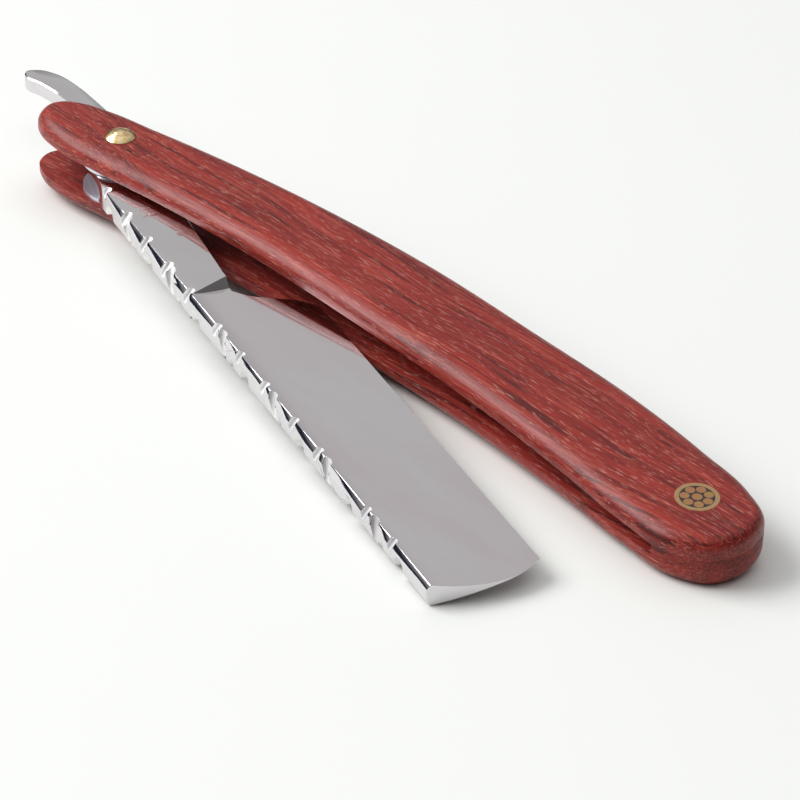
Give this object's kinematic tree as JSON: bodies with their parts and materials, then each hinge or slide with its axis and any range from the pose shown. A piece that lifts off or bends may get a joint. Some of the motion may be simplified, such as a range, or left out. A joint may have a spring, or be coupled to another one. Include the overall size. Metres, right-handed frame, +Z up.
{
  "type": "straight razor",
  "caption": "Folding straight razor: hollow-ground steel blade with a filework spine, turning on a pin between two rounded hardwood scales with a wedge and a mosaic pin at the butt.",
  "frame": {"origin": "middle of the flat outer face of the lower scale, halfway between the pivot pin and the mosaic pin", "axes": "+X along the handle from the pivot to the butt, +Y to the handle's bowed back, +Z up along the pivot pin towards the upper scale"},
  "size_m": [0.1656, 0.0527, 0.0148],
  "materials": {
    "polished_steel": "mirror polished, file cuts left bright",
    "red_wood": "oiled and buffed to a satin gloss, open pores",
    "brass": "polished, peened at the pivot",
    "copper": "sanded flush with the wood",
    "dark_resin": "poured resin, sanded flush",
    "washer_steel": "polished, bare"
  },
  "bodies": {
    "handle": {"scale_upper": "red_wood", "scale_lower": "red_wood", "wedge": "red_wood", "pivot_pin": "brass", "pivot_collar_upper": "brass", "pivot_collar_lower": "brass", "tang_washer_upper": "washer_steel", "tang_washer_lower": "washer_steel", "mosaic_tube": "brass", "mosaic_resin": "dark_resin", "mosaic_core_rod": "copper", "mosaic_rod_1": "copper", "mosaic_rod_2": "copper", "mosaic_rod_3": "copper", "mosaic_rod_4": "copper", "mosaic_rod_5": "copper", "mosaic_rod_6": "copper", "mosaic_rod_7": "copper"},
    "blade": {"blade": "polished_steel"}
  },
  "joints": [
    {"name": "blade_pivot", "type": "hinge", "parent": "handle", "child": "blade", "pos_m": [-0.0615, -0.0046, 0.0052], "axis": [0, 0, 1], "range_deg": [-320, 12.5]}
  ]
}
